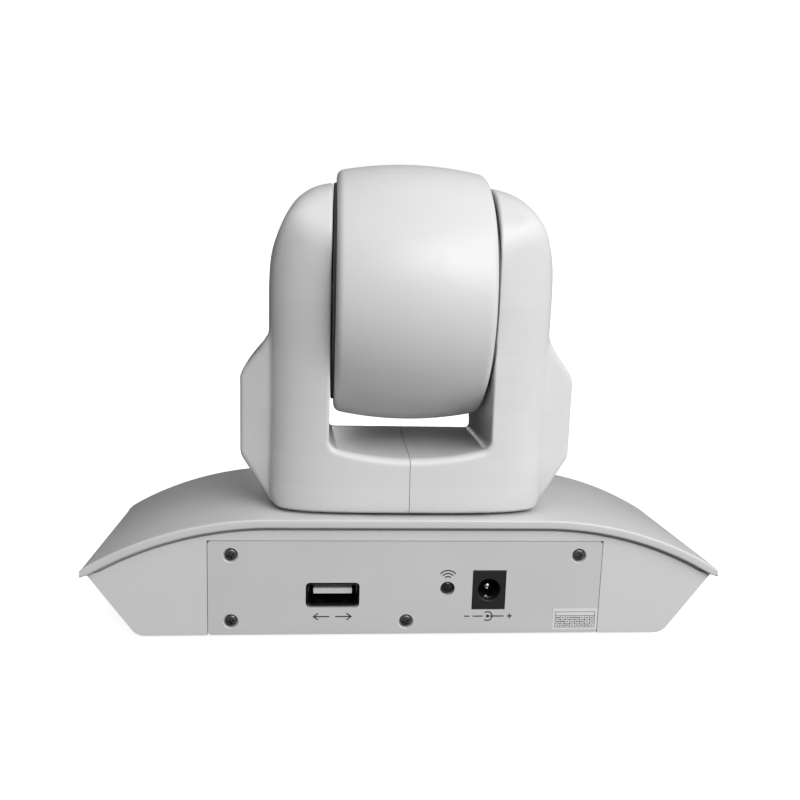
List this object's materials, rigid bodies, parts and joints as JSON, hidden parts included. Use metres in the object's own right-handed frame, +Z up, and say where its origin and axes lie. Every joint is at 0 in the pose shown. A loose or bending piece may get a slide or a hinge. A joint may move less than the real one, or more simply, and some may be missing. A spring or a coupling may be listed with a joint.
{
  "type": "ptz camera",
  "caption": "Tabletop pan-tilt-zoom camera: arched wide base with rear sockets, turning yoke with side pods, and a tilting drum head with a zoom lens.",
  "frame": {"origin": "on the pan axis, on the table under the rubber feet", "axes": "+Z up along the pan axis; the lens looks along -Y at rest and the rear panel faces +Y; +X runs along the width"},
  "size_m": [0.1694, 0.0726, 0.1256],
  "materials": {
    "casing": "fine-textured satin silver-white plastic",
    "cover": "satin silver-white plastic, slightly greyer",
    "panel": "fine-textured light grey plastic",
    "drum": "smooth satin white plastic",
    "window_dark": "infrared-clear dark acrylic",
    "rubber": "matt black rubber",
    "screw_dark": "black-oxide steel",
    "steel": "zinc-plated steel",
    "chrome_steel": "polished steel",
    "brass": "turned brass",
    "black_plastic": "black moulded plastic",
    "white_plastic": "natural nylon",
    "board_green": "solder-masked circuit board",
    "chip": "moulded chip packages",
    "label_white": "paper sticker with a printed blank grid",
    "led_blue": "clear tinted lamp",
    "barrel_black": "black anodised",
    "glass": "coated optical glass",
    "silicon": "image sensor under its cover glass"
  },
  "bodies": {
    "base": {"base_shell": "casing", "base_cover": "cover", "rear_panel": "panel", "bottom_plate": "steel", "rubber_feet": "rubber", "front_window": "window_dark", "panel_screws": "screw_dark", "bottom_screws": "screw_dark", "cover_screws": "screw_dark", "usb_shell": "screw_dark", "usb_tongue": "white_plastic", "usb_contacts": "brass", "dc_jack": "black_plastic", "dc_pin": "chrome_steel", "ir_receiver_rear": "black_plastic", "ir_receiver_front": "black_plastic", "status_led": "led_blue", "blank_label": "label_white", "main_board": "board_green", "board_chips": "chip", "tripod_insert": "brass", "pan_bracket": "steel", "pan_bearing": "chrome_steel", "pan_motor": "steel"},
    "yoke": {"pan_gear": "white_plastic", "pan_hub": "black_plastic", "yoke_left_shell": "casing", "yoke_right_shell": "casing", "yoke_frame": "steel", "yoke_screws": "screw_dark", "hub_screws": "screw_dark", "tilt_motor": "steel", "tilt_bearings": "chrome_steel"},
    "head": {"tilt_gear": "white_plastic", "tilt_trunnions": "chrome_steel", "head_rear_shell": "drum", "head_front_shell": "drum", "side_discs": "black_plastic", "camera_bracket": "steel", "camera_body": "black_plastic", "sensor_board": "board_green", "image_sensor": "silicon", "lens_barrel": "barrel_black", "lens_bezel": "black_plastic", "front_glass": "glass", "objective_lens": "glass", "head_screws": "screw_dark"},
    "pan_pinion": {"pan_pinion": "brass"},
    "tilt_pinion": {"tilt_pinion": "brass"},
    "zoom_group": {"zoom_cell": "barrel_black", "zoom_lens": "glass"},
    "focus_group": {"focus_cell": "barrel_black", "focus_lens": "glass"}
  },
  "joints": [
    {"name": "pan", "type": "hinge", "parent": "base", "child": "yoke", "pos_m": [0, 0, 0.0342], "axis": [0, 0, 1], "range_deg": [-170, 170]},
    {"name": "tilt", "type": "hinge", "parent": "yoke", "child": "head", "pos_m": [0, 0, 0.0902], "axis": [-1, 0, 0], "range_deg": [-30, 90]},
    {"name": "pan_pinion_spin", "type": "hinge", "parent": "base", "child": "pan_pinion", "pos_m": [-0.026, 0, 0.0212], "axis": [0, 0, 1], "range_deg": [-570, 570]},
    {"name": "tilt_pinion_spin", "type": "hinge", "parent": "yoke", "child": "tilt_pinion", "pos_m": [0.0255, 0.006, 0.06121], "axis": [-1, 0, 0], "range_deg": [-245, 85]},
    {"name": "zoom", "type": "slide", "parent": "head", "child": "zoom_group", "axis": [0, 1, 0], "range_m": [-0.003, 0.009]},
    {"name": "focus", "type": "slide", "parent": "head", "child": "focus_group", "axis": [0, 1, 0], "range_m": [-0.004, 0.003]}
  ],
  "couplings": [
    {"joint": "pan_pinion_spin", "follows": "pan", "ratio": -3.3333},
    {"joint": "tilt_pinion_spin", "follows": "tilt", "ratio": -2.7}
  ]
}
